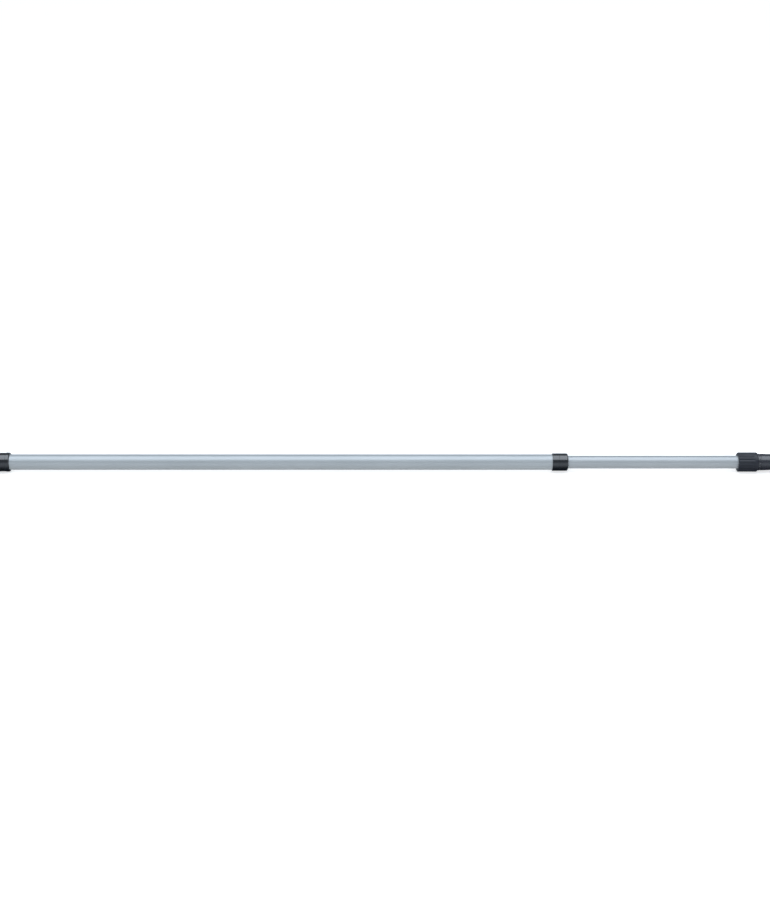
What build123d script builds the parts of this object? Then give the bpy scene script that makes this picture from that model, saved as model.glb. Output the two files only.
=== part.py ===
from build123d import *

import os
from math import radians, tan

# Telescopic window cleaning pole: two aluminium sections, an inner twist lock,
# and a clamped, tapered adapter that takes a squeegee or washer.
# Millimetres. The pole's axis is X: 0 is the flat butt face and +X points to the tool.

# ---- Driving dimensions ----
OUTER_D, OUTER_LENGTH = 30.0, 1250.0
INNER_D, INNER_LENGTH = 25.0, 1200.0
WALL = 1.5
SHOWN_INNER = 325.0          # bare inner tube between collar and clamp nut, as set
TRAVEL_OUT = 620.0           # how far the pole can still be drawn out
LOCK_PITCH = 1.25            # thread of the lock spindle
RUN = 0.05                   # radial clearance of a running fit
GAP = 0.1                    # clearance between pieces that only come close
BREAK = 0.8                  # rounding of a moulded edge
NUT_RIBS = 18

# ---- Outer section: stations along X, and radii ----
CAP_LENGTH = 16.0
CAP_R, CAP_FACE_R = 18.5, 13.0
CAP_SPIGOT, CAP_CORE_R, CAP_FLOOR = 30.0, 11.0, 2.0
HANG_X, HANG_R, HANG_MOUTH = 9.0, 3.5, 0.8
OUTER_R, OUTER_BORE_R = OUTER_D / 2, OUTER_D / 2 - WALL
TUBE_START = CAP_LENGTH
TUBE_END = TUBE_START + OUTER_LENGTH

RING_START, RING_END = 172.0, 202.4
RING_R, RING_RIM_R, RING_RIM, RING_NOSE = 18.1, 18.5, 7.0, 3.0
GRIP_R, GRIP_WAIST_R = 18.0, 17.2
GRIP_GROOVE, GRIP_GROOVE_DEPTH = 2.0, 1.0
GRIP_GROOVES, GRIP_BAND, GRIP_SLOPE = (8.0, 14.0), 20.0, 6.0   # from each end of the grip

BUSH_FLANGE, BUSH_LENGTH, BUSH_LAND = 1.0, 59.0, 12.0
BUSH_START = TUBE_END - BUSH_LENGTH
COLLAR_LIP = 3.0
COLLAR_END = TUBE_END + BUSH_FLANGE + COLLAR_LIP
COLLAR_START = COLLAR_END - 30.0
COLLAR_SPLIT = COLLAR_START + 13.0
COLLAR_R, COLLAR_MOUTH_R, COLLAR_NOSE, COLLAR_SEAM = 16.9, 12.9, 3.0, 0.35
SNAP_R, SNAP_X, SNAP_ROOT = 2.0, COLLAR_START + 6.5, 0.5

# ---- Inner section ----
INNER_R, INNER_BORE_R = INNER_D / 2, INNER_D / 2 - WALL
NUT_START = COLLAR_END + SHOWN_INNER
NUT_LENGTH = 37.0
NUT_END = NUT_START + NUT_LENGTH
INNER_END = NUT_START + 58.0
INNER_START = INNER_END - INNER_LENGTH
TIP_FLANGE, TIP_SPIGOT, TIP_CORE_R = 2.0, 20.0, 8.5
SLIDER_R = OUTER_BORE_R - 2 * RUN
STOP_END = BUSH_START - TRAVEL_OUT - 1.0
STOP_LENGTH = 10.0
STOP_X = STOP_END - STOP_LENGTH / 2

# ---- Twist lock, below the inner tube ----
PLUG_SPIGOT, PLUG_FLANGE, PLUG_NECK, PLUG_SHOULDER = 30.0, 4.0, 12.0, 4.0
PLUG_NECK_R, PLUG_SHOULDER_R, RING_SPLIT = 10.0, 11.5, 1.5
PLUG_START = INNER_START - PLUG_FLANGE - PLUG_NECK - PLUG_SHOULDER
PIN_R, PIN_X, PIN_SHORT = 1.5, INNER_START + 23.0, 0.3
SPINDLE_R, SPINDLE_START = 4.0, PLUG_START - 61.0
HEAD_FLATS, HEAD_LENGTH = 13.0, 8.0
HEAD_END = INNER_START + 17.0
SLEEVE_LENGTH = 40.0
SLEEVE_END = PLUG_START - 0.5
SLEEVE_START = SLEEVE_END - SLEEVE_LENGTH
SLEEVE_R = OUTER_BORE_R - RUN
SLOTS, SLOT_WIDTH, SLOT_LENGTH, FIN_WIDTH = 4, 1.8, 29.0, 1.4
HUB_LENGTH = SLEEVE_LENGTH - SLOT_LENGTH + 3.0
WEDGE_THICK_R, WEDGE_TAPER, WEDGE_LENGTH = 11.5, 10.0, 19.0
WEDGE_COLLAR = 7.4
FIN_LOW_R, FIN_HIGH_R, FIN_START, FIN_END = 7.0, 12.3, 2.0, 3.0
WEDGE_START = SLEEVE_START - WEDGE_COLLAR
BAND_X, BAND_WIDTH, BAND_DEPTH = SLEEVE_START + 7.0, 2.4, 1.1
WASHER_THICK, WASHER_R = 1.6, 8.0
WASHER_END = WEDGE_START - LOCK_PITCH - 2 * GAP
LOCKNUT_LENGTH = 8.0

# ---- Tool adapter, clamp collet and clamp nut ----
NUT_R, NUT_BORE_R, NUT_LIP, NUT_LIP_R = 18.65, 16.0, 4.5, 12.9
NUT_BACK_ROUND, NUT_FRONT_ROUND = 2.0, 2.2
RIB_GROOVE_R, RIB_GROOVE_DEPTH, NUT_PLAIN_END = 1.6, 0.8, 7.0
COLLET_START = NUT_START + NUT_LIP + 0.1
COLLET_FLANGE, COLLET_NOSE = 4.4, 8.0
COLLET_FLANGE_R, COLLET_NOSE_R, COLLET_SLOPE = 15.2, 14.8, 0.1875
COLLET_SLIT, COLLET_BREAK = 3.0, 0.6
NOSE_START = COLLET_START + COLLET_FLANGE
ROOT_START, ROOT_R = NOSE_START + 1.0, 15.9
SEAT_END = NOSE_START + COLLET_NOSE + 1.0
SOCKET_R = INNER_R + 2 * RUN
SOCKET_END = INNER_END + TIP_FLANGE + 0.5
BASE_START, BASE_END = NUT_END + 0.4, NUT_END + 4.6
NECK_END, NECK_R = NUT_END + 6.6, 15.3
NOTCHES, NOTCH_R, NOTCH_DEPTH, NOTCH_START = 16, 1.5, 0.8, BASE_START + 1.8
CONE_BASE_R, CONE_SLOPE, CONE_LENGTH = 16.3, 0.04, 100.0
CONE_END = NUT_END + CONE_LENGTH
CORE_R, CORE_DEPTH = 9.4, 32.0
WEB_THICK, WEB_RECESS = 2.2, 2.5

# ---- Tool lock button, across the cone ----
BUTTON_X, BUTTON_R, BUTTON_ROUND = NUT_END + 53.0, 4.0, 2.4
BUTTON_TRAVEL = 3.2          # it stands this far out, and is pressed in flush
SHOULDER_R, SHOULDER_TOP, SHOULDER_LENGTH = 4.95, 8.8, 3.0
BUTTON_BORE_R, BUTTON_BORE_STEP = 5.1, 9.0
BOSS_R, BOSS_LENGTH = 2.4, 3.5
SPRING_WIRE_R, SPRING_MEAN_R, SPRING_TURNS = 0.45, 3.7, 6
BUTTON_PLUG_TOP, BUTTON_PLUG_INSET = -9.0, 0.4


def cone_radius(x):
    """Outside radius of the tapered tool seat at station x."""
    return CONE_BASE_R - CONE_SLOPE * (x - NUT_END - 2.0)


def turned(outline, rounds=()):
    """A solid turned about X from (x, radius) corners; rounds holds (corner number, radius)."""
    face = make_face(Polyline(*outline, close=True))
    for corner, radius in rounds:
        nearest = face.vertices().sort_by_distance(Vector(*outline[corner]))[0]
        face = fillet(nearest, radius)
    return revolve(face, Axis.X)


def tube(start, end, outer, inner):
    """A plain round sleeve on the pole's axis."""
    return turned([(start, inner), (end, inner), (end, outer), (start, outer)])


def across(x, radius, low, high):
    """A round bar along Z through station x, from z = low to z = high."""
    return Pos(x, 0, (low + high) / 2) * Cylinder(radius, high - low)


def hexagon_bar(start, end, across_flats):
    """A hexagon bar on the pole's axis."""
    section = RegularPolygon(across_flats / 2, 6, major_radius=False)
    return extrude(Plane(origin=(start, 0, 0), z_dir=(1, 0, 0)) * section, end - start)


def snap_nubs(x, inner, outer):
    """Two round nubs, one above and one below, that key a ring into holes in a tube."""
    return across(x, SNAP_R, inner, outer) + across(x, SNAP_R, -outer, -inner)


# ---- Outer section ----

def outer_tube():
    body = tube(TUBE_START, TUBE_END, OUTER_R, OUTER_BORE_R)
    return body - across(SNAP_X, SNAP_R + RUN, -OUTER_R - 1, OUTER_R + 1)


def butt_cap():
    """Moulded end cap: a flange the size of the grip, a hollow spigot and a cross hole."""
    spigot_end = CAP_LENGTH + CAP_SPIGOT
    outline = [(0, 0), (0, CAP_R), (CAP_LENGTH, CAP_R), (CAP_LENGTH, OUTER_BORE_R),
               (spigot_end, OUTER_BORE_R), (spigot_end, CAP_CORE_R),
               (CAP_LENGTH + CAP_FLOOR, CAP_CORE_R), (CAP_LENGTH + CAP_FLOOR, 0)]
    body = turned(outline, [(1, CAP_R - CAP_FACE_R), (2, BREAK), (4, BREAK)])
    turn = Pos(HANG_X, 0, 0) * Rot(90, 0, 0)
    body -= turn * Cylinder(HANG_R, 3 * CAP_R)
    for side in (-1, 1):
        mouth = Cone(HANG_R, HANG_R + 2 * HANG_MOUTH, 2 * HANG_MOUTH)
        out = Pos(HANG_X, side * CAP_R, 0) * Rot(-90 * side, 0, 0)
        body -= out * mouth
    return body


def grip_sleeve():
    """Soft sleeve on the butt end of the outer tube, waisted, with ring grooves at both ends."""
    middle = (TUBE_START + RING_START) / 2
    half = (RING_START - TUBE_START) / 2
    side = [(half, GRIP_R)]
    for inset in GRIP_GROOVES:
        side += [(half - inset, GRIP_R), (half - inset - GRIP_GROOVE / 2, GRIP_R - GRIP_GROOVE_DEPTH),
                 (half - inset - GRIP_GROOVE, GRIP_R)]
    side += [(half - GRIP_BAND, GRIP_R), (half - GRIP_BAND - GRIP_SLOPE, GRIP_WAIST_R)]
    front = [(middle + reach, radius) for reach, radius in side]
    back = [(middle - reach, radius) for reach, radius in reversed(side)]
    return turned([(TUBE_START, OUTER_R), (RING_START, OUTER_R)] + front + back)


def grip_ring():
    """Hard front ring of the grip, with a low rim at its front edge."""
    rim = RING_END - RING_RIM
    outline = [(RING_START, OUTER_R), (RING_END, OUTER_R), (RING_END, RING_RIM_R),
               (rim, RING_RIM_R), (rim - 1, RING_R), (RING_START, RING_R)]
    return turned(outline, [(2, RING_NOSE), (3, BREAK / 2), (5, BREAK)])


def collar_sleeve():
    """Rear half of the mouth collar, snapped into two holes in the tube."""
    outline = [(COLLAR_START, OUTER_R), (COLLAR_SPLIT, OUTER_R), (COLLAR_SPLIT, COLLAR_R),
               (COLLAR_START, COLLAR_R)]
    nubs = snap_nubs(SNAP_X, OUTER_BORE_R, OUTER_R + SNAP_ROOT)
    return turned(outline, [(2, COLLAR_SEAM), (3, BREAK)]) + nubs


def collar_cap():
    """Front half of the mouth collar; its lip keeps the guide bush in the tube."""
    lip = COLLAR_END - COLLAR_LIP
    outline = [(COLLAR_SPLIT, OUTER_R), (lip, OUTER_R), (lip, COLLAR_MOUTH_R),
               (COLLAR_END, COLLAR_MOUTH_R), (COLLAR_END, COLLAR_R), (COLLAR_SPLIT, COLLAR_R)]
    return turned(outline, [(3, BREAK), (4, COLLAR_NOSE), (5, COLLAR_SEAM)])


def guide_bush():
    """Nylon liner of the tube's mouth: two bearing lands with a relief between them."""
    flange_end = TUBE_END + BUSH_FLANGE
    land, relief = INNER_R + RUN, INNER_R + 6 * RUN
    outline = [(BUSH_START, land), (BUSH_START + BUSH_LAND, land),
               (BUSH_START + BUSH_LAND + 1, relief), (flange_end - BUSH_LAND - 1, relief),
               (flange_end - BUSH_LAND, land), (flange_end, land), (flange_end, OUTER_R),
               (TUBE_END, OUTER_R), (TUBE_END, OUTER_BORE_R), (BUSH_START, OUTER_BORE_R)]
    return turned(outline)


# ---- Inner section ----

def inner_tube():
    body = tube(INNER_START, INNER_END, INNER_R, INNER_BORE_R)
    body -= across(STOP_X, SNAP_R + RUN, -INNER_R - 1, INNER_R + 1)
    return body - across(PIN_X, PIN_R, -INNER_R - 1, INNER_R + 1)


def stop_ring():
    """Nylon ring on the inner tube that meets the guide bush at full length."""
    body = tube(STOP_END - STOP_LENGTH, STOP_END, SLIDER_R, INNER_R)
    return body + snap_nubs(STOP_X, INNER_BORE_R, INNER_R + SNAP_ROOT)


def tip_plug():
    """Closes the upper end of the inner tube."""
    spigot = INNER_END - TIP_SPIGOT
    outline = [(spigot, TIP_CORE_R), (INNER_END, TIP_CORE_R), (INNER_END, 0), (INNER_END + TIP_FLANGE, 0),
               (INNER_END + TIP_FLANGE, INNER_R), (INNER_END, INNER_R), (INNER_END, INNER_BORE_R),
               (spigot, INNER_BORE_R)]
    return turned(outline, [(4, BREAK), (7, BREAK)])


def spindle_shape():
    """Lock spindle: a round bar with a hexagon head."""
    rod = Pos((SPINDLE_START + HEAD_END) / 2, 0, 0) * Rot(0, 90, 0)
    rod *= Cylinder(SPINDLE_R, HEAD_END - SPINDLE_START)
    tip = rod.faces().sort_by(Axis.X)[0].edges()
    return chamfer(tip, BREAK) + hexagon_bar(HEAD_END - HEAD_LENGTH, HEAD_END, HEAD_FLATS)


def lock_plug():
    """Plug pressed into the inner tube and moulded round the head of the lock spindle."""
    neck = PLUG_START + PLUG_SHOULDER
    flange = INNER_START - PLUG_FLANGE
    spigot_end = INNER_START + PLUG_SPIGOT
    outline = [(PLUG_START, 0), (spigot_end, 0), (spigot_end, INNER_BORE_R),
               (INNER_START, INNER_BORE_R), (INNER_START, INNER_R), (flange, INNER_R),
               (flange, PLUG_NECK_R), (neck, PLUG_NECK_R), (neck, PLUG_SHOULDER_R),
               (PLUG_START, PLUG_SHOULDER_R)]
    body = turned(outline, [(2, BREAK), (9, BREAK)])
    return body - spindle_shape() - across(PIN_X, PIN_R, -INNER_R, INNER_R)


def lock_plug_pin():
    """Cross pin that keeps the lock plug in the inner tube."""
    return across(PIN_X, PIN_R, PIN_SHORT - INNER_R, INNER_R - PIN_SHORT)


def slide_ring():
    """Split nylon ring on the plug's neck that centres it in the outer tube."""
    neck = PLUG_START + PLUG_SHOULDER
    body = tube(neck + GAP, neck + PLUG_NECK - GAP, SLIDER_R, PLUG_NECK_R + RUN)
    return body - Pos(neck + PLUG_NECK / 2, 0, SLIDER_R) * Box(PLUG_NECK, RING_SPLIT, SLIDER_R)


def stop_washer():
    return tube(WASHER_END - WASHER_THICK, WASHER_END, WASHER_R, SPINDLE_R)


def stop_nut():
    """Locking nut at the spindle's end; the wedge can't run off it."""
    end = WASHER_END - WASHER_THICK
    bore = tube(end - 2 * LOCKNUT_LENGTH, end + 1, SPINDLE_R, 0)
    return hexagon_bar(end - LOCKNUT_LENGTH, end, HEAD_FLATS) - bore


# ---- Twist lock ----

def wedge_radius(x):
    """Radius of the wedge's taper at station x, when the pole is locked."""
    return WEDGE_THICK_R - (x - SLEEVE_START) * tan(radians(WEDGE_TAPER))


def slot_box(start, end, inner, outer, width):
    """One box per slot of the expander, as a list, evenly round the axis."""
    size = Box(end - start, width, outer - inner)
    at = Pos((start + end) / 2, 0, (inner + outer) / 2)
    return [Rot(360 / SLOTS * i, 0, 0) * at * size for i in range(SLOTS)]


def expander_sleeve():
    """Nylon sleeve with slotted fingers that the wedge spreads against the outer tube."""
    taper_end = SLEEVE_START + WEDGE_LENGTH + 1
    relief = wedge_radius(taper_end) + GAP
    hub = SLEEVE_END - HUB_LENGTH
    hub_r = SPINDLE_R + 2 * GAP
    band_start = BAND_X - BAND_WIDTH / 2
    band_r = SLEEVE_R - BAND_DEPTH
    outline = [(SLEEVE_START, wedge_radius(SLEEVE_START) + GAP), (taper_end, relief), (hub, relief),
               (hub, hub_r), (SLEEVE_END, hub_r), (SLEEVE_END, SLEEVE_R),
               (band_start + BAND_WIDTH, SLEEVE_R), (band_start + BAND_WIDTH, band_r),
               (band_start, band_r), (band_start, SLEEVE_R), (SLEEVE_START, SLEEVE_R)]
    body = turned(outline, [(5, BREAK)])
    slot_end = SLEEVE_START + SLOT_LENGTH
    for slot in slot_box(SLEEVE_START - 1, slot_end, SPINDLE_R + 1, SLEEVE_R + 1, SLOT_WIDTH):
        body -= slot
    return body


def expander_band():
    """Spring band that closes the fingers again."""
    start, end = BAND_X - BAND_WIDTH / 2 + GAP, BAND_X + BAND_WIDTH / 2 - GAP
    return tube(start, end, SLEEVE_R - GAP, SLEEVE_R - BAND_DEPTH)


def wedge_nut():
    """Tapered nut on the spindle; its fins run in the expander's slots."""
    thin_end = SLEEVE_START + WEDGE_LENGTH
    bore = SPINDLE_R + RUN
    outline = [(WEDGE_START, bore), (thin_end, bore), (thin_end, wedge_radius(thin_end)),
               (SLEEVE_START, WEDGE_THICK_R), (WEDGE_START, WEDGE_THICK_R)]
    body = turned(outline, [(4, BREAK)])
    for fin in slot_box(WEDGE_START + FIN_START, thin_end - FIN_END, FIN_LOW_R, FIN_HIGH_R, FIN_WIDTH):
        body += fin
    return body


# ---- Tool adapter ----

def nose_radius(x):
    """Radius of the collet's tapered nose at station x, when the nut is tight."""
    return COLLET_NOSE_R - COLLET_SLOPE * (x - NOSE_START)


def grooves(count, surface_r, groove_r, depth, start, end):
    """Round-bottomed grooves along X, cut into a surface of radius surface_r, as one tool each."""
    cutter = Pos((start + end) / 2, 0, surface_r + groove_r - depth) * Rot(0, 90, 0)
    cutter *= Cylinder(groove_r, end - start)
    return [Rot(360 / count * i, 0, 0) * cutter for i in range(count)]


def cone_adapter():
    """Moulded adapter: threaded root, socket for the inner tube, tapered tool seat with a webbed core."""
    core_start = CONE_END - CORE_DEPTH
    outline = [(ROOT_START, nose_radius(ROOT_START) + GAP), (SEAT_END, nose_radius(SEAT_END) + GAP),
               (SEAT_END, SOCKET_R), (SOCKET_END, SOCKET_R), (SOCKET_END, 0), (core_start, 0),
               (core_start, CORE_R), (CONE_END, CORE_R), (CONE_END, cone_radius(CONE_END)),
               (NECK_END, cone_radius(NECK_END)), (NECK_END, NECK_R), (BASE_END, NECK_R),
               (BASE_END, CONE_BASE_R), (BASE_START, CONE_BASE_R), (BASE_START, ROOT_R),
               (ROOT_START, ROOT_R)]
    rounds = [(7, 0.6), (8, 2.0), (9, BREAK / 2), (12, BREAK / 2), (13, BREAK / 2)]
    body = turned(outline, rounds)
    web = Pos(core_start + (CORE_DEPTH - WEB_RECESS) / 2, 0, 0)
    web *= Box(CORE_DEPTH - WEB_RECESS, 2 * CORE_R + 1, WEB_THICK)
    body += web + Rot(90, 0, 0) * web
    for notch in grooves(NOTCHES, CONE_BASE_R, NOTCH_R, NOTCH_DEPTH, NOTCH_START, NECK_END - GAP):
        body -= notch
    wide = across(BUTTON_X, BUTTON_BORE_R, -2 * CONE_BASE_R, BUTTON_BORE_STEP)
    return body - wide - across(BUTTON_X, BUTTON_R + GAP, 0, 2 * CONE_BASE_R)


def collet_ring():
    """Split clamping ring that the nut presses onto the inner tube."""
    nose_end = NOSE_START + COLLET_NOSE
    outline = [(COLLET_START, INNER_R + RUN), (nose_end, INNER_R + RUN),
               (nose_end, nose_radius(nose_end)), (NOSE_START, COLLET_NOSE_R),
               (NOSE_START, COLLET_FLANGE_R), (COLLET_START, COLLET_FLANGE_R)]
    body = turned(outline, [(5, COLLET_BREAK)])
    length = nose_end - COLLET_START
    slit = Box(2 * length, COLLET_SLIT, COLLET_FLANGE_R)
    return body - Pos(COLLET_START, 0, -COLLET_FLANGE_R) * slit


def clamp_nut():
    """Ribbed nut, closed at the tube side by a lip that pushes the collet."""
    lip = NUT_START + NUT_LIP
    outline = [(NUT_START, NUT_LIP_R), (lip, NUT_LIP_R), (lip, NUT_BORE_R), (NUT_END, NUT_BORE_R),
               (NUT_END, NUT_R), (NUT_START, NUT_R)]
    body = turned(outline, [(0, BREAK), (4, NUT_FRONT_ROUND), (5, NUT_BACK_ROUND)])
    groove_end = NUT_END - NUT_PLAIN_END
    ball = Pos(groove_end, 0, NUT_R + RIB_GROOVE_R - RIB_GROOVE_DEPTH) * Sphere(RIB_GROOVE_R)
    cutters = grooves(NUT_RIBS, NUT_R, RIB_GROOVE_R, RIB_GROOVE_DEPTH, NUT_START - 1, groove_end)
    for i, cutter in enumerate(cutters):
        body -= cutter + Rot(360 / NUT_RIBS * i, 0, 0) * ball
    return body


# ---- Tool lock button ----

def tool_button():
    """Sprung pin that catches the tool's hole."""
    top = cone_radius(BUTTON_X) + BUTTON_TRAVEL
    shoulder = SHOULDER_TOP - SHOULDER_LENGTH
    pin = across(BUTTON_X, BUTTON_R, SHOULDER_TOP - 1, top)
    pin = fillet(pin.faces().sort_by(Axis.Z)[-1].edges(), BUTTON_ROUND)
    body = pin + across(BUTTON_X, SHOULDER_R, shoulder, SHOULDER_TOP)
    return body + across(BUTTON_X, BOSS_R, shoulder - BOSS_LENGTH, shoulder + 1)


def button_spring():
    """Coil spring between the plug and the button's shoulder."""
    low = BUTTON_PLUG_TOP + SPRING_WIRE_R + RUN
    high = SHOULDER_TOP - SHOULDER_LENGTH - SPRING_WIRE_R - RUN
    coil = Helix((high - low) / SPRING_TURNS, high - low, SPRING_MEAN_R)
    wire = Plane(origin=coil @ 0, z_dir=coil % 0) * Circle(SPRING_WIRE_R)
    return Pos(BUTTON_X, 0, low) * sweep(wire, path=coil, is_frenet=True)


def button_plug():
    """Press-in plug that closes the button's bore from below."""
    low = BUTTON_PLUG_INSET - cone_radius(BUTTON_X)
    return across(BUTTON_X, BUTTON_BORE_R, low, BUTTON_PLUG_TOP)


PIECES = [outer_tube, butt_cap, grip_sleeve, grip_ring, collar_sleeve, collar_cap, guide_bush,
          inner_tube, stop_ring, tip_plug, lock_plug, lock_plug_pin, slide_ring, stop_washer,
          stop_nut, expander_sleeve, expander_band, wedge_nut, cone_adapter, collet_ring,
          clamp_nut, tool_button, button_spring, button_plug]


def lock_spindle():
    """The spindle that the plug is moulded round."""
    return spindle_shape()


if __name__ == "__main__":
    os.makedirs("parts", exist_ok=True)
    for piece in PIECES + [lock_spindle]:
        export_step(piece(), f"parts/{piece.__name__}.step")
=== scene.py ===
import bpy
import numpy as np
from mathutils import Matrix, Vector


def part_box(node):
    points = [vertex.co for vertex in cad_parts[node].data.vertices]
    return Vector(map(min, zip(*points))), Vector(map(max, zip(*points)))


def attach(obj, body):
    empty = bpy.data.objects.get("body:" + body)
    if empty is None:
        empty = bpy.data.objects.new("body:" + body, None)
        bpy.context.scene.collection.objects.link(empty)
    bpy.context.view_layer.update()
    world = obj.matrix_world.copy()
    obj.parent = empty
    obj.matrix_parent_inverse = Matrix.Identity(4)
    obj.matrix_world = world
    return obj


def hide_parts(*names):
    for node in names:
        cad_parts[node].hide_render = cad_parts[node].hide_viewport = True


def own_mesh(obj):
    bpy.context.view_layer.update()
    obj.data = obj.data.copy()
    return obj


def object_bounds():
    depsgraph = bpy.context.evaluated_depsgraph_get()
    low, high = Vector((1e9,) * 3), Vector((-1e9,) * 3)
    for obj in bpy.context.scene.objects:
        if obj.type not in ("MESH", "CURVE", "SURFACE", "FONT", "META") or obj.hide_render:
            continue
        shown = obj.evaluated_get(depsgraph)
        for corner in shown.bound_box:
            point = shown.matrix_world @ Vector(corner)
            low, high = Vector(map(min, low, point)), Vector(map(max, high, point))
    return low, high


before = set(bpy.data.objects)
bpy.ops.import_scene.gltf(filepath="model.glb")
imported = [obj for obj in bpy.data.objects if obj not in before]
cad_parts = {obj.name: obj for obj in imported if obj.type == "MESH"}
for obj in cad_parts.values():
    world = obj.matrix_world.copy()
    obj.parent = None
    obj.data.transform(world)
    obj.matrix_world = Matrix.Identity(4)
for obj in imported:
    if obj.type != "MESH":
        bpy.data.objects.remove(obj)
cad_low, cad_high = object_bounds()


# ---- Outer tube ----
# The lower section is drawn aluminium tube, satin anodised, sawn to length and lightly broken
# at both ends. Drawing leaves faint lengthwise lines, and use leaves fine scuffs.

TUBE_WALL = 0.0015
SAW_BREAK = 0.0003
TOUCH = 1e-6


def rounded(corners, steps=8, hold=0.0002):
    """A closed outline of (x, radius) points from corners (x, radius, rounding).
    Each corner becomes the arc of that radius that touches both its sides; a point set back
    by hold on each side keeps the straight walls straight when they are shaded smooth."""
    corners = np.array(corners, float)
    place, size = corners[:, :2], corners[:, 2]
    back = np.roll(place, 1, 0) - place
    on = np.roll(place, -1, 0) - place
    back /= np.linalg.norm(back, axis=1)[:, None]
    on /= np.linalg.norm(on, axis=1)[:, None]
    half = np.arccos(np.clip((back * on).sum(1), -1, 1)) / 2
    pieces = []
    for c, b, o, h, r in zip(place, back, on, half, size):
        if r == 0:
            pieces.append(c[None])
            continue
        reach = r / np.tan(h)
        middle = c + (b + o) / np.linalg.norm(b + o) * r / np.sin(h)
        start, end = c + b * reach - middle, c + o * reach - middle
        sweep = np.pi - 2 * h
        t = np.linspace(0, 1, steps + 1)[:, None]
        arc = middle + (np.sin((1 - t) * sweep) * start + np.sin(t * sweep) * end) / np.sin(sweep)
        pieces.append(np.vstack([c + b * (reach + hold), arc, c + o * (reach + hold)]))
    return np.vstack(pieces)


def turned(name, outline, around=128, relief=None, crease=35):
    """The surface that an outline sweeps about X: point (u, v) is at
    (x(u), r cos a(v), r sin a(v)), where r is the outline's radius plus relief(x, radius, a).
    A closed outline gives a ring; one that starts and ends on the axis gives a solid body, whose poles
    are single points. The sign of the section's area says which way its faces have to look."""
    angle = np.arange(around) * 2 * np.pi / around
    x = np.repeat(outline[:, :1], around, 1)
    r = np.repeat(outline[:, 1:2], around, 1)
    if relief is not None:
        r = r + relief(x, r, angle[None, :])
    points = np.stack([x, r * np.cos(angle), r * np.sin(angle)], -1).reshape(-1, 3)
    rows = len(outline)
    on_axis = outline[0, 1] == 0 and outline[-1, 1] == 0
    first, last = (1, rows - 2) if on_axis else (0, rows)
    u = np.arange(first, last)[:, None]
    v = np.arange(around)
    u_next, v_next = (u + 1) % rows, (v + 1) % around
    quads = np.stack([u * around + v, u * around + v_next,
                      u_next * around + v_next, u_next * around + v], -1).reshape(-1, 4)
    ends = []
    if on_axis:
        points = points[around - 1:len(points) - around + 1]
        quads -= around - 1
        pole = len(points) - 1
        start = np.stack([np.zeros_like(v), 1 + v_next, 1 + v], -1)
        end = np.stack([pole - around + v, pole - around + v_next, np.full_like(v, pole)], -1)
        ends = start.tolist() + end.tolist()
    mesh = bpy.data.meshes.new(name)
    mesh.from_pydata(points.tolist(), [], quads.tolist() + ends)
    section = (outline[:, 0] * np.roll(outline[:, 1], -1) - np.roll(outline[:, 0], -1) * outline[:, 1]).sum()
    if section > 0:
        mesh.flip_normals()
    mesh.validate()
    mesh.shade_smooth()
    mesh.set_sharp_from_angle(angle=np.radians(crease))
    piece = bpy.data.objects.new(name, mesh)
    bpy.context.scene.collection.objects.link(piece)
    return piece


def extent(node):
    """Where a turned CAD node starts and ends along X, and its largest radius."""
    low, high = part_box(node)
    return low.x, high.x, high.z


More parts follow.
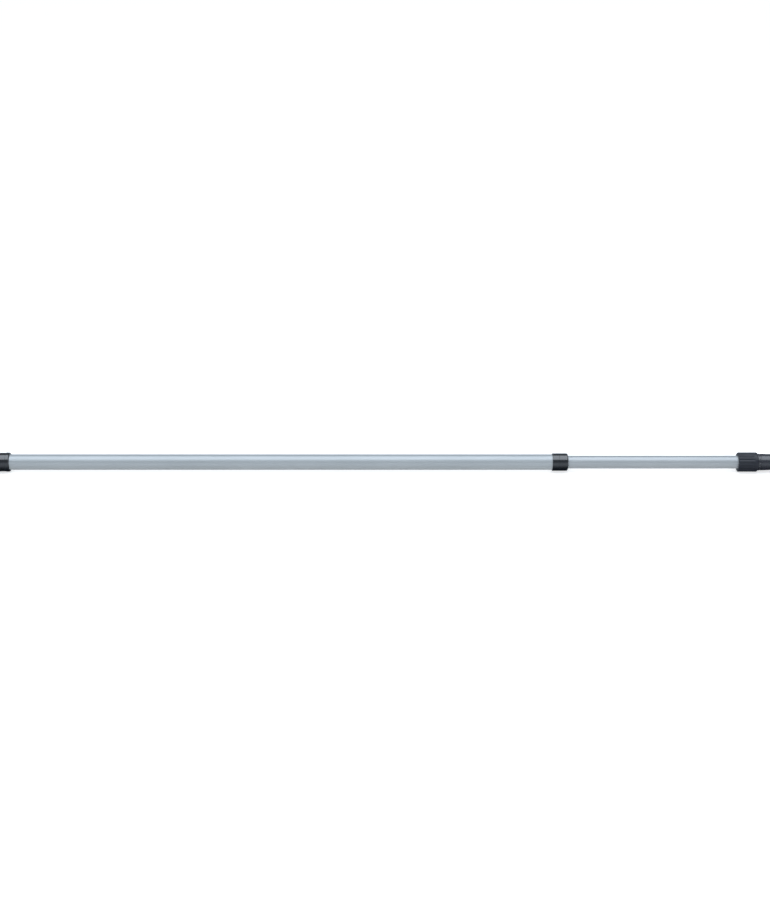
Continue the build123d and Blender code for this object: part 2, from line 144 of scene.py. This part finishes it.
class Finish:
    """A node material under construction: its tree, its shader and the object's coordinates."""

    def __init__(self, name, **shader):
        self.material = bpy.data.materials.new(name)
        self.material.use_nodes = True
        self.tree = self.material.node_tree
        self.shader = self.tree.nodes["Principled BSDF"]
        for socket, value in shader.items():
            self.shader.inputs[socket.replace("_", " ")].default_value = value
        self.coordinates = self.add("ShaderNodeTexCoord").outputs["Object"]

    def add(self, kind, **settings):
        node = self.tree.nodes.new(kind)
        for key, value in settings.items():
            setattr(node, key, value)
        return node

    def join(self, source, target):
        self.tree.links.new(source, target)

    def noise(self, per_metre, detail=2.0, roughness=0.5):
        """Noise with per_metre lumps a metre along X, Y and Z; its values lie round 0.5."""
        place = self.add("ShaderNodeMapping")
        place.inputs["Scale"].default_value = per_metre
        self.join(self.coordinates, place.inputs["Vector"])
        noise = self.add("ShaderNodeTexNoise")
        noise.inputs["Scale"].default_value = 1.0
        noise.inputs["Detail"].default_value = detail
        noise.inputs["Roughness"].default_value = roughness
        self.join(place.outputs["Vector"], noise.inputs["Vector"])
        return noise.outputs["Fac"]

    def spread(self, value, low, high, to_low, to_high):
        """value carried from the range low..high to the range to_low..to_high, and held there."""
        node = self.add("ShaderNodeMapRange")
        for socket, number in zip(("From Min", "From Max", "To Min", "To Max"),
                                  (low, high, to_low, to_high)):
            node.inputs[socket].default_value = number
        self.join(value, node.inputs["Value"])
        return node.outputs["Result"]

    def sum(self, first, second):
        """first plus second, held in 0..1."""
        node = self.add("ShaderNodeMath", operation="ADD", use_clamp=True)
        self.join(first, node.inputs[0])
        self.join(second, node.inputs[1])
        return node.outputs["Value"]

    def radius(self):
        """Distance from the pole's axis, in metres."""
        flat = self.add("ShaderNodeVectorMath", operation="MULTIPLY")
        flat.inputs[1].default_value = (0, 1, 1)
        self.join(self.coordinates, flat.inputs[0])
        length = self.add("ShaderNodeVectorMath", operation="LENGTH")
        self.join(flat.outputs["Vector"], length.inputs[0])
        return length.outputs["Value"]

    def colour(self, factor, dark, light):
        """Base colour that runs from dark to light with factor."""
        mix = self.add("ShaderNodeMix", data_type="RGBA")
        mix.inputs[6].default_value = (*dark, 1)
        mix.inputs[7].default_value = (*light, 1)
        self.join(factor, mix.inputs[0])
        self.join(mix.outputs[2], self.shader.inputs["Base Color"])

    def roughness(self, factor, low, high):
        """Roughness that runs from low to high over the middle of factor's range."""
        self.join(self.spread(factor, 0.3, 0.7, low, high), self.shader.inputs["Roughness"])

    def bump(self, height, depth):
        """Relief of depth metres where height goes from 0 to 1. A second call lays more on the first."""
        bump = self.add("ShaderNodeBump")
        bump.inputs["Strength"].default_value = 1.0
        bump.inputs["Distance"].default_value = depth
        self.join(height, bump.inputs["Height"])
        laid = self.shader.inputs["Normal"]
        if laid.is_linked:
            self.join(laid.links[0].from_socket, bump.inputs["Normal"])
        self.join(bump.outputs["Normal"], laid)


def dress(piece, finish, body, slot, *stands_for):
    """Gives a made piece its finish and the body it belongs to, and hides the CAD nodes it stands for; slot
    is not used.
    """
    piece.data.materials.append(finish.material)
    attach(piece, body)
    if stands_for:
        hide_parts(*stands_for)


def anodised(name, dark, light):
    """Satin anodised, drawn aluminium: lengthwise lines, cloudy tone and short scuffs. The thick, matt
    oxide scatters most of the light, so the shader is only partly metallic."""
    finish = Finish(name, Metallic=0.35)
    lines = finish.noise((2.5, 1400, 1400), detail=3)
    clouds = finish.noise((9, 40, 40))
    scuffs = finish.noise((160, 2600, 2600), detail=4, roughness=0.7)
    tone = finish.sum(finish.spread(lines, 0.3, 0.7, 0.0, 0.6), finish.spread(clouds, 0.35, 0.65, 0.0, 0.4))
    finish.colour(tone, dark, light)
    rub = finish.sum(finish.spread(scuffs, 0.6, 0.75, 0.0, 0.25), finish.spread(lines, 0.3, 0.7, 0.3, 0.55))
    finish.roughness(rub, 0.34, 0.43)
    finish.bump(lines, 0.00002)
    finish.bump(scuffs, 0.000008)
    return finish


def cut_tube(name, node):
    """A drawn tube over the node's length: both its ends are sawn square and broken."""
    start, end, outer = extent(node)
    inner = outer - TUBE_WALL
    outline = rounded([(start, inner, SAW_BREAK), (end, inner, SAW_BREAK),
                       (end, outer, SAW_BREAK), (start, outer, SAW_BREAK)], steps=3)
    return turned(name, outline)


outer_finish = anodised("outer_anodised", (0.41, 0.44, 0.45), (0.47, 0.50, 0.51))
outer_tube = cut_tube("outer_tube_drawn", "outer_tube")
dress(outer_tube, outer_finish, "outer_section", "anodised_tube", "outer_tube")


# ---- Butt cap ----
# The end cap is a black moulding in polypropylene, spark-eroded to a fine matt grain. Its spigot is
# pushed into the tube, and a hole across the flange takes a hook.

def moulded(name, dark, light, smooth, coarse, grain=2200, depth=0.00003, gloss=0.5, index=1.5):
    """Moulded plastic: even colour with faint flow clouds, a fine grain, and polished rubs.
    smooth and coarse are the roughness where it is rubbed and where it is as moulded."""
    finish = Finish(name, IOR=index, Specular_IOR_Level=gloss)
    clouds = finish.noise((30, 60, 60), detail=3)
    skin = finish.noise((grain, grain, grain), detail=3, roughness=0.6)
    rubs = finish.noise((90, 240, 240), detail=5, roughness=0.65)
    finish.colour(finish.spread(clouds, 0.35, 0.65, 0.0, 1.0), dark, light)
    finish.roughness(rubs, smooth, coarse)
    finish.bump(skin, depth)
    return finish


def paint(node, finish):
    """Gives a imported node, whose own shape stays, its finish."""
    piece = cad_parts[node]
    piece.data.materials.clear()
    piece.data.materials.append(finish.material)


cap_finish = moulded("cap_moulding", (0.018, 0.019, 0.022), (0.024, 0.025, 0.029), 0.42, 0.58)
paint("butt_cap", cap_finish)


# ---- Grip sleeve ----
# The hand grip is a soft rubber sleeve, moulded with a diamond tread over its waist and plain bands
# with two ring grooves at each end. It is stretched over the tube against the cap.

GRIP_BORE = 0.015
GRIP_WAIST = 0.0172
GRIP_GROOVES, GRIP_GROOVE = (0.008, 0.014), 0.002
GRIP_BAND, GRIP_SLOPE, GRIP_LIP = 0.020, 0.006, 0.0008
TREAD_STARTS, TREAD_PITCH, TREAD_WIDTH, TREAD_DEPTH, TREAD_FADE = 14, 0.116, 0.20, 0.0006, 0.003

grip_start, grip_end, grip_radius = extent("grip_sleeve")
grip_middle = (grip_start + grip_end) / 2
grip_half = (grip_end - grip_start) / 2


def grip_outline(rows=260):
    """Outer radius along the sleeve: end bands, then a slope down to the waist, as a smooth step
    of the distance from the nearer end, less a raised-cosine groove at each ring."""
    x = np.linspace(grip_start, grip_end, rows)
    inset = grip_half - abs(x - grip_middle)
    t = np.clip((inset - GRIP_BAND) / GRIP_SLOPE, 0, 1)
    r = grip_radius - (grip_radius - GRIP_WAIST) * t * t * (3 - 2 * t)
    for groove in GRIP_GROOVES:
        near = np.clip(abs(inset - groove - GRIP_GROOVE / 2) / (GRIP_GROOVE / 2), 0, 1)
        r -= (GRIP_GROOVE / 2) * (1 + np.cos(np.pi * near)) / 2
    r -= GRIP_LIP * np.clip(1 - inset / GRIP_LIP, 0, 1) ** 2
    outer = np.stack([x, r], 1)
    bore = np.array([(grip_end, GRIP_BORE), (grip_start, GRIP_BORE)])
    return np.vstack([outer, bore])


def tread(x, r, a):
    """Two families of helical grooves, TREAD_STARTS each way: groove depth is a raised cosine of the
    distance, in pitches, to the nearest groove, and it fades in over the slope to the waist."""
    turns = TREAD_STARTS * a / (2 * np.pi)
    cut = 0
    for way in (-1, 1):
        phase = turns + way * TREAD_STARTS * (x - grip_middle) / TREAD_PITCH
        off = abs(phase - np.round(phase)) / (TREAD_WIDTH / 2)
        cut = np.maximum(cut, (1 + np.cos(np.pi * np.clip(off, 0, 1))) / 2)
    inset = grip_half - abs(x - grip_middle)
    fade = np.clip((inset - GRIP_BAND - GRIP_SLOPE) / TREAD_FADE, 0, 1)
    return np.where(r > GRIP_BORE + TREAD_DEPTH, -TREAD_DEPTH * cut * fade, 0)


rubber = Finish("grip_rubber_skin", IOR=1.5, Specular_IOR_Level=0.4)
pores = rubber.noise((3200, 3200, 3200), detail=2)
polish = rubber.noise((40, 110, 110), detail=4)
# Painted shade: the base colour is darker down in the tread's grooves and lighter on its crests.
crest = rubber.spread(rubber.radius(), GRIP_WAIST - TREAD_DEPTH, GRIP_WAIST, 0.0, 0.5)
tone = rubber.sum(rubber.spread(polish, 0.35, 0.65, 0.0, 0.5), crest)
rubber.colour(tone, (0.016, 0.016, 0.018), (0.032, 0.033, 0.036))
rubber.roughness(polish, 0.58, 0.78)
rubber.bump(pores, 0.00004)
grip = turned("grip_rubber", grip_outline(), around=210, relief=tread, crease=60)
dress(grip, rubber, "outer_section", "grip_rubber", "grip_sleeve")


# ---- Grip ring ----
# A hard, glossy black ring closes the grip at its front. It is injection moulded ABS with a raised rim
# whose front edge is well rounded, bonded to the tube.

RING_BODY, RING_RIM, RING_NOSE, MOULD_BREAK = 0.0181, 0.007, 0.003, 0.0006
RIM_EDGE = 0.0003

gloss_black = moulded("gloss_black", (0.001, 0.0025, 0.005), (0.002, 0.004, 0.007), 0.10, 0.18,
                      grain=500, depth=0.00001, gloss=1.0, index=1.6)
ring_start, ring_end, rim_radius = extent("grip_ring")
tube_radius = extent("outer_tube")[2]
ring_outline = rounded([
    (ring_start, tube_radius, 0), (ring_end, tube_radius, 0), (ring_end, rim_radius, RING_NOSE),
    (ring_end - RING_RIM, rim_radius, RIM_EDGE), (ring_end - RING_RIM, RING_BODY, RIM_EDGE / 2),
    (ring_start, RING_BODY, MOULD_BREAK)])
grip_ring = turned("grip_ring_gloss", ring_outline, around=160)
dress(grip_ring, gloss_black, "outer_section", "gloss_moulding", "grip_ring")


# ---- Guide bush ----
# The bush that lines the tube's mouth is natural nylon, turned from bar, so fine turning rings
# run round it. The collar's lip holds its flange against the tube.

nylon = Finish("natural_nylon", IOR=1.53, Subsurface_Weight=0.15)
nylon.shader.inputs["Subsurface Scale"].default_value = 0.002
rings = nylon.noise((3000, 15, 15), detail=1)
haze = nylon.noise((120, 120, 120), detail=3)
nylon.colour(nylon.spread(haze, 0.35, 0.65, 0.0, 1.0), (0.64, 0.63, 0.58), (0.70, 0.69, 0.64))
nylon.roughness(rings, 0.32, 0.48)
nylon.bump(rings, 0.00002)
paint("guide_bush", nylon)


# ---- Mouth collar ----
# Two glossy black rings close the outer tube's mouth: the rear one is snapped into holes in the tube,
# and the front one, with a deeply rounded nose, screws up against it and leaves a fine seam.

COLLAR_NOSE, COLLAR_SEAM, COLLAR_BREAK = 0.003, 0.0004, 0.0008
COLLAR_LIP, COLLAR_MOUTH = 0.003, 0.0129

rear_start, seam, collar_radius = extent("collar_sleeve")
collar_end = extent("collar_cap")[1]
collar_rear = turned("collar_rear_ring", rounded([
    (rear_start, tube_radius, 0), (seam, tube_radius, 0), (seam, collar_radius, COLLAR_SEAM),
    (rear_start, collar_radius, COLLAR_BREAK)]), around=160)
dress(collar_rear, gloss_black, "outer_section", "gloss_moulding", "collar_sleeve")
collar_front = turned("collar_front_ring", rounded([
    (seam, tube_radius, 0), (collar_end - COLLAR_LIP, tube_radius, 0),
    (collar_end - COLLAR_LIP, COLLAR_MOUTH, 0), (collar_end, COLLAR_MOUTH, COLLAR_BREAK),
    (collar_end, collar_radius, COLLAR_NOSE), (seam, collar_radius, COLLAR_SEAM)]), around=160)
dress(collar_front, gloss_black, "outer_section", "gloss_moulding", "collar_cap")


# ---- Inner tube ----
# The upper section is the same tube one size down, in the same anodised finish and scuffs, a
# touch less blue.

inner_finish = anodised("inner_anodised", (0.41, 0.435, 0.445), (0.47, 0.495, 0.505))
inner_tube = cut_tube("inner_tube_drawn", "inner_tube")
dress(inner_tube, inner_finish, "inner_section", "anodised_tube", "inner_tube")


# ---- Inner tube's plugs and rings ----
# The tip plug and the lock plug are black mouldings like the butt cap. The slide ring and the stop
# ring, which run in the outer tube, are turned nylon like the bush.

for node in ("tip_plug", "lock_plug"):
    paint(node, cap_finish)
for node in ("stop_ring", "slide_ring"):
    paint(node, nylon)


# ---- Lock spindle, stop nut, washer and pin ----
# The spindle is a zinc-plated steel screw, its hexagon head moulded into the lock plug. A washer and
# a hexagon nut, crimped on its thread, stop the wedge; a steel pin keeps the plug in the tube.

THREAD_PITCH, THREAD_DEPTH = 0.00125, 0.00055
THREAD_SLOPE, THREAD_FLAT = 1.35, 0.15
SPINDLE_RADIUS, SPINDLE_CHAMFER, SPINDLE_RUN_OUT = 0.004, 0.0008, 0.004
HEX_FLAT, HEAD_LENGTH = 0.0065, 0.008
HEX_CHAMFER = 0.0006

zinc = Finish("zinc_plate", Metallic=1.0)
spangle = zinc.noise((700, 700, 700), detail=4)
stain = zinc.noise((60, 60, 60), detail=3)
zinc.colour(zinc.spread(stain, 0.3, 0.7, 0.0, 1.0), (0.50, 0.51, 0.50), (0.66, 0.67, 0.69))
zinc.roughness(spangle, 0.24, 0.40)
zinc.bump(spangle, 0.00001)


def hexagon(a):
    """Radius of a hexagon of half-width HEX_FLAT at angle a: HEX_FLAT / cos of the angle to the
    nearest flat's middle."""
    off = (a + np.pi / 6) % (np.pi / 3) - np.pi / 6
    return HEX_FLAT / np.cos(off)


def thread(x, a):
    """Depth of the spindle's thread below its crest: a triangle wave of x / THREAD_PITCH - a / 2 pi,
    flattened at the crest and the root."""
    turn = (x / THREAD_PITCH - a / (2 * np.pi)) % 1
    return -THREAD_DEPTH * np.clip(THREAD_SLOPE * abs(2 * turn - 1) - THREAD_FLAT, 0, 1)


spindle_low, spindle_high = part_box("lock_spindle")
head_start = spindle_high.x - HEAD_LENGTH
hex_corner = HEX_FLAT / np.cos(np.pi / 6)


def spindle_relief(x, r, a):
    """The head is cut down to the hexagon; the shank is threaded, and the thread fades at both ends."""
    start = np.clip((x - spindle_low.x) / THREAD_PITCH, 0, 1)
    end = np.clip((head_start - x) / SPINDLE_RUN_OUT, 0, 1)
    cut = np.where(r > SPINDLE_RADIUS - SPINDLE_CHAMFER, thread(x, a) * start * end, 0)
    return np.where(x >= head_start - TOUCH, np.minimum(hexagon(a) - r, 0), cut)


shank_x = np.arange(spindle_low.x + SPINDLE_CHAMFER, head_start - THREAD_PITCH / 5, THREAD_PITCH / 10)
spindle_outline = np.vstack([
    [(spindle_low.x, 0), (spindle_low.x, SPINDLE_RADIUS - SPINDLE_CHAMFER)],
    np.stack([shank_x, np.full(len(shank_x), SPINDLE_RADIUS)], 1),
    [(head_start, SPINDLE_RADIUS), (head_start, hex_corner - HEX_CHAMFER),
     (head_start + HEX_CHAMFER / 2, hex_corner), (spindle_high.x - HEX_CHAMFER / 2, hex_corner),
     (spindle_high.x, hex_corner - HEX_CHAMFER), (spindle_high.x, 0)]])
spindle = turned("lock_spindle_screw", spindle_outline, around=60, relief=spindle_relief, crease=30)
dress(spindle, zinc, "inner_section", "zinc_steel", "lock_spindle")

nut_low, nut_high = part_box("stop_nut")
stop_nut_outline = np.array([
    (nut_low.x, SPINDLE_RADIUS), (nut_high.x, SPINDLE_RADIUS), (nut_high.x, hex_corner - HEX_CHAMFER),
    (nut_high.x - HEX_CHAMFER / 2, hex_corner), (nut_low.x + HEX_CHAMFER / 2, hex_corner),
    (nut_low.x, hex_corner - HEX_CHAMFER)])
stop_nut = turned("stop_nut_hexagon", stop_nut_outline, around=60, crease=25,
                  relief=lambda x, r, a: np.minimum(hexagon(a) - r, 0))
dress(stop_nut, zinc, "inner_section", "zinc_steel", "stop_nut")
for node in ("stop_washer", "lock_plug_pin"):
    paint(node, zinc)


# ---- Expander, band and wedge ----
# The lock's slotted sleeve is natural nylon with a black elastomer band in its groove; the wedge that
# spreads it is dark acetal, and its fins run in the sleeve's slots.

acetal = moulded("dark_acetal", (0.045, 0.048, 0.056), (0.062, 0.066, 0.075), 0.28, 0.42,
                 grain=1500, depth=0.00001)
paint("expander_sleeve", nylon)
paint("expander_band", rubber)
paint("wedge_nut", acetal)


# ---- Collet and clamp nut ----
# The split collet is dark acetal. The clamp nut is a black glass-filled moulding, matt, with ribs for
# the hand that run out into a plain shoulder; its lip pushes the collet into the adapter.

paint("collet_ring", acetal)

NUT_BORE, NUT_LIP, NUT_MOUTH = 0.0160, 0.0045, 0.0129
NUT_BACK, NUT_FRONT, NUT_BREAK, NUT_HOLD = 0.0020, 0.0018, 0.0006, 0.0001
NUT_RIBS, RIB_GROOVE, RIB_DEPTH = 18, 0.44, 0.00085
SCREW_PITCH, NUT_THREAD = 0.003, 0.00057
SHOULDER, RUN_OUT = 0.0070, 0.0030

nut_start, nut_end, nut_radius = extent("clamp_nut")


def round_thread(x, a):
    """A rounded right-hand thread along X: 1 at its crest, 0 half a pitch away, a raised cosine of
    x / SCREW_PITCH - a / 2 pi between."""
    return (1 + np.cos(2 * np.pi * x / SCREW_PITCH - a)) / 2


def nut_relief(x, r, a):
    """Grooves between the ribs, each a raised cosine that reaches RIB_GROOVE of the rib pitch to either
    side. They run out over RUN_OUT before the shoulder. The bore is opened to the thread's groove, which
    ends on the mouth's bevel and leaves the end face whole."""
    off = abs(a * NUT_RIBS / (2 * np.pi) - np.round(a * NUT_RIBS / (2 * np.pi)))
    groove = (1 + np.cos(np.pi * np.clip(off / RIB_GROOVE, 0, 1))) / 2
    t = np.clip((nut_end - SHOULDER + RUN_OUT / 2 - x) / RUN_OUT, 0, 1)
    outside = np.clip((r - NUT_BORE) / (nut_radius - NUT_BORE), 0, 1)
    cut = NUT_BORE + NUT_THREAD * round_thread(x, a)
    in_bore = (x > nut_start + NUT_LIP - TOUCH) & (r < NUT_BORE + NUT_THREAD) & (r > NUT_BORE - TOUCH)
    return np.where(in_bore, np.maximum(cut - r, 0), -RIB_DEPTH * groove * t * t * (3 - 2 * t) * outside)


def refined(outline, step, radius):
    """The outline with its straight wall at this radius divided into lengths of about step."""
    pieces = []
    for here, there in zip(outline, np.roll(outline, -1, 0)):
        level = np.allclose((here[1], there[1]), radius, atol=TOUCH)
        count = int(np.ceil(abs(there[0] - here[0]) / step)) if level else 1
        pieces.append(here + (there - here) * (np.arange(max(count, 1)) / max(count, 1))[:, None])
    return np.vstack(pieces)


nut_outline = rounded([
    (nut_start, NUT_MOUTH, NUT_BREAK), (nut_start + NUT_LIP, NUT_MOUTH, 0),
    (nut_start + NUT_LIP, NUT_BORE, 0), (nut_end, NUT_BORE, NUT_BREAK),
    (nut_end, nut_radius, NUT_FRONT), (nut_start, nut_radius, NUT_BACK)], hold=NUT_HOLD)
nut_outline = refined(refined(nut_outline, RUN_OUT / 5, nut_radius), SCREW_PITCH / 12, NUT_BORE)
nut_black = moulded("nut_black", (0.009, 0.011, 0.018), (0.015, 0.018, 0.026), 0.36, 0.48,
                    grain=1600, depth=0.00004)
clamp_nut = turned("clamp_nut_ribbed", nut_outline, around=360, relief=nut_relief, crease=45)
dress(clamp_nut, nut_black, "clamp", "black_moulding", "clamp_nut")


# ---- Cone adapter ----
# The adapter is one semi-gloss black moulding: a threaded root, a notched base, a neck groove and the
# long taper that tools are pushed onto. Its end is cored out round a cross web. The coarse thread that
# the nut turns on is a skin over the root, in step with the nut's own thread.

cone_finish = moulded("cone_black", (0.010, 0.011, 0.018), (0.014, 0.015, 0.022), 0.20, 0.30,
                      grain=900, depth=0.000015, gloss=1.0, index=1.55)
paint("cone_adapter", cone_finish)
paint("button_plug", cone_finish)

ROOT_SKIN, ROOT_THREAD, ROOT_FADE = 0.01593, 0.0005, 0.0020
ROOT_LENGTH, ROOT_GAP = 0.0270, 0.0004

root_end = nut_end + ROOT_GAP
root_start = root_end - ROOT_LENGTH


def root_thread(x, r, a):
    """The rounded thread, faded over ROOT_FADE at both ends and absent from the skin's inside."""
    fade = np.clip((x - root_start) / ROOT_FADE, 0, 1) * np.clip((root_end - x) / (ROOT_FADE / 2), 0, 1)
    return np.where(r > ROOT_SKIN - TOUCH, ROOT_THREAD * round_thread(x, a) * fade, 0)


root_outline = refined(np.array([
    (root_start, ROOT_SKIN - ROOT_GAP), (root_end, ROOT_SKIN - ROOT_GAP),
    (root_end, ROOT_SKIN), (root_start, ROOT_SKIN)]), SCREW_PITCH / 12, ROOT_SKIN)
screw = turned("adapter_root_thread", root_outline, around=180, relief=root_thread)
dress(screw, cone_finish, "adapter", "cone_moulding")


# ---- Tool button and its spring ----
# The button that catches the tool's hole is dark acetal with a domed end; a coil of zinc-plated
# spring wire pushes it out against a step in the bore.

COIL_TURNS, COIL_WIRE, BUTTON_TRAVEL = 7.5, 0.00045, 0.0032


def coil(name, centre, low, high, mean, wire, turns, along=360, around=12):
    """A wire of radius wire wound at radius mean about Z. Its middle is at angle 2 pi turns t and at the
    height low + wire + (high - low - 2 wire) (t - sin(2 pi t) / 8), so its end turns lie closer. Both
    ends are capped."""
    t = np.linspace(0, 1, along)
    angle = 2 * np.pi * turns * t
    out = np.stack([np.cos(angle), np.sin(angle), np.zeros(along)], 1)
    rise = low + wire + (high - low - 2 * wire) * (t - np.sin(2 * np.pi * t) / 8)
    middle = np.array([centre[0], centre[1], 0]) + out * mean + np.stack([0 * t, 0 * t, rise], 1)
    tangent = np.gradient(middle, axis=0)
    tangent /= np.linalg.norm(tangent, axis=1)[:, None]
    side = np.cross(tangent, out)
    turn = (np.arange(around) * 2 * np.pi / around)[None, :, None]
    rings = middle[:, None] + wire * (np.cos(turn) * out[:, None] + np.sin(turn) * side[:, None])
    points = np.vstack([rings.reshape(-1, 3), middle[:1], middle[-1:]])
    u = np.arange(along - 1)[:, None] * around
    v, v_next = np.arange(around), (np.arange(around) + 1) % around
    quads = np.stack([u + v, u + v_next, u + around + v_next, u + around + v], -1).reshape(-1, 4)
    last = (along - 1) * around
    start_cap = np.stack([v_next, v, np.full(around, last + around)], -1)
    end_cap = np.stack([last + v, last + v_next, np.full(around, last + around + 1)], -1)
    mesh = bpy.data.meshes.new(name)
    mesh.from_pydata(points.tolist(), [], quads.tolist() + start_cap.tolist() + end_cap.tolist())
    mesh.shade_smooth()
    mesh.set_sharp_from_angle(angle=np.radians(50))
    piece = bpy.data.objects.new(name, mesh)
    bpy.context.scene.collection.objects.link(piece)
    return piece


paint("tool_button", acetal)
spring_low, spring_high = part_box("button_spring")
spring_centre = (spring_low + spring_high) / 2
spring = coil("button_spring_coil", spring_centre, spring_low.z, spring_high.z,
              (spring_high.x - spring_low.x) / 2 - COIL_WIRE, COIL_WIRE, COIL_TURNS)
dress(spring, zinc, "adapter", "zinc_steel", "button_spring")
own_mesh(spring)


# ---- Floor and backdrop ----
# A plain pale floor that glows a little, like a light table, and a white dome behind it that only the
# camera sees. The pole's own gloss mirrors neither.

FLOOR_REACH, FLOOR_GAP, FLOOR_GLOW = 60.0, 0.0001, 0.7
DOME_REACH, DOME_SKIRT, DOME_ROWS = 54.0, 0.05, 18

floor_mesh = bpy.data.meshes.new("floor")
floor_corners = np.array([(-1, -1), (1, -1), (1, 1), (-1, 1)]) * FLOOR_REACH
floor_level = cad_low[2] - FLOOR_GAP
floor_mesh.from_pydata([(x, y, floor_level) for x, y in floor_corners.tolist()], [], [(0, 1, 2, 3)])
floor = bpy.data.objects.new("floor", floor_mesh)
bpy.context.scene.collection.objects.link(floor)
floor.visible_glossy = False
floor_paint = bpy.data.materials.new("floor_paint")
floor_paint.use_nodes = True
floor_shader = floor_paint.node_tree.nodes["Principled BSDF"]
floor_shader.inputs["Base Color"].default_value = (0.86, 0.86, 0.86, 1)
floor_shader.inputs["Roughness"].default_value = 0.9
floor_shader.inputs["Specular IOR Level"].default_value = 0.0
floor_shader.inputs["Emission Color"].default_value = (1, 1, 1, 1)
floor_shader.inputs["Emission Strength"].default_value = FLOOR_GLOW
floor_mesh.materials.append(floor_paint)

dome_rise = np.linspace(-DOME_SKIRT, np.pi / 2, DOME_ROWS)
dome_outline = DOME_REACH * np.stack([np.sin(dome_rise), np.cos(dome_rise)], 1)
dome_outline[-1, 1] = 0
dome = turned("backdrop_dome", np.vstack([[dome_outline[0, 0], 0], dome_outline]), around=64)
dome.data.transform(Matrix.Rotation(-np.pi / 2, 4, "Y"))
for seen_by in ("diffuse", "glossy", "transmission", "volume_scatter", "shadow"):
    setattr(dome, "visible_" + seen_by, False)
dome_paint = bpy.data.materials.new("dome_paint")
dome_paint.use_nodes = True
dome_shader = dome_paint.node_tree.nodes["Principled BSDF"]
dome_shader.inputs["Base Color"].default_value = (0, 0, 0, 1)
dome_shader.inputs["Specular IOR Level"].default_value = 0.0
dome_shader.inputs["Emission Color"].default_value = (1, 1, 1, 1)
dome_shader.inputs["Emission Strength"].default_value = 1.0
dome.data.materials.append(dome_paint)


# ---- Lights and camera ----
# One long, wide soft box hangs over the pole. The room round it is pale at the horizon and overhead,
# dimmer between the two and dark below, which puts soft bands along the tubes and the gloss rings.

AIM = Vector((0.920, 0, 0))
BOX_RISE, BOX_FORWARD, BOX_LENGTH, BOX_WIDTH, BOX_RADIANCE = 1.6, 0.05, 3.6, 1.9, 1.75
BOX_TINT, ROOM_TINT, ROOM_LEVEL = (0.92, 0.99, 1.09), (0.90, 1.0, 1.12), 1.05
ROOM = ((-90, 0.02), (-60, 0.05), (-38, 0.22), (-20, 0.50), (0, 0.60), (12, 0.52), (24, 0.24),
        (40, 0.20), (60, 0.45), (90, 0.50))

light = bpy.data.lights.new("overhead_box", "AREA")
light.shape = "RECTANGLE"
light.size, light.size_y = BOX_LENGTH, BOX_WIDTH
light.color = BOX_TINT
light.energy = BOX_RADIANCE * np.pi * BOX_LENGTH * BOX_WIDTH
overhead = bpy.data.objects.new("overhead_box", light)
overhead.location = AIM + Vector((0, -BOX_FORWARD, BOX_RISE))
overhead.visible_camera = False
bpy.context.scene.collection.objects.link(overhead)

world = bpy.data.worlds.new("studio")
bpy.context.scene.world = world
world.use_nodes = True
tree = world.node_tree
background = tree.nodes["Background"]
background.inputs["Strength"].default_value = ROOM_LEVEL
direction = tree.nodes.new("ShaderNodeTexCoord")
rise = tree.nodes.new("ShaderNodeSeparateXYZ")
scaled = tree.nodes.new("ShaderNodeMapRange")
scaled.inputs["From Min"].default_value = -1
ramp = tree.nodes.new("ShaderNodeValToRGB")
ramp.color_ramp.interpolation = "B_SPLINE"
stops = ramp.color_ramp.elements
while len(stops) < len(ROOM):
    stops.new(0.5)
for stop, (degrees, brightness) in zip(stops, ROOM):
    stop.position = (np.sin(np.radians(degrees)) + 1) / 2
    stop.color = (*(np.array(ROOM_TINT) * brightness), 1)
tree.links.new(direction.outputs["Generated"], rise.inputs["Vector"])
tree.links.new(rise.outputs["Z"], scaled.inputs["Value"])
tree.links.new(scaled.outputs["Result"], ramp.inputs["Fac"])
tree.links.new(ramp.outputs["Color"], background.inputs["Color"])

CAMERA_DISTANCE, CAMERA_LENS, CAMERA_RISE = 2.78, 56.5, np.radians(28)

camera_data = bpy.data.cameras.new("camera")
camera_data.lens = CAMERA_LENS
camera = bpy.data.objects.new("camera", camera_data)
camera.location = AIM + CAMERA_DISTANCE * Vector((0, -np.cos(CAMERA_RISE), np.sin(CAMERA_RISE)))
camera.rotation_euler = (np.pi / 2 - CAMERA_RISE, 0, 0)
bpy.context.scene.collection.objects.link(camera)
bpy.context.scene.camera = camera
bpy.context.scene.view_settings.view_transform = "Standard"
